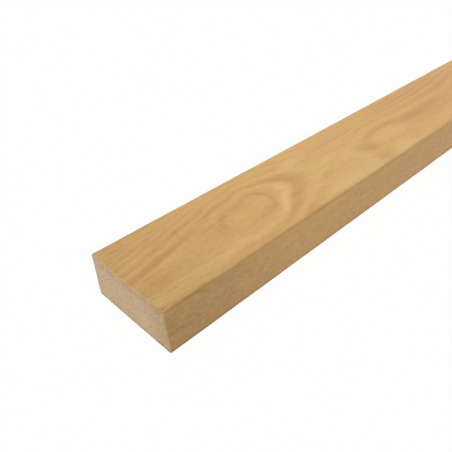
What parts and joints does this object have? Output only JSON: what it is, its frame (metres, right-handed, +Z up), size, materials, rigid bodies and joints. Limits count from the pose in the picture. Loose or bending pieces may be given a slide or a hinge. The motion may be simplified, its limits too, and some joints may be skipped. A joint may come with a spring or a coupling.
{
  "type": "timber lumber plank",
  "caption": "Planed timber plank of rectangular section with eased long corners and square sawn ends, for framing, battens, shelving and general joinery.",
  "frame": {"origin": "centre of the bottom wide face", "axes": "+X along the length and the grain, +Y across the width, +Z up through the thickness"},
  "size_m": [2.4, 0.089, 0.038],
  "materials": {
    "planed_timber": "bare planed timber, satin, with flat-sawn figure on the wide faces and end grain on the sawn ends"
  },
  "bodies": {
    "root": {"plank": "planed_timber"}
  },
  "joints": []
}
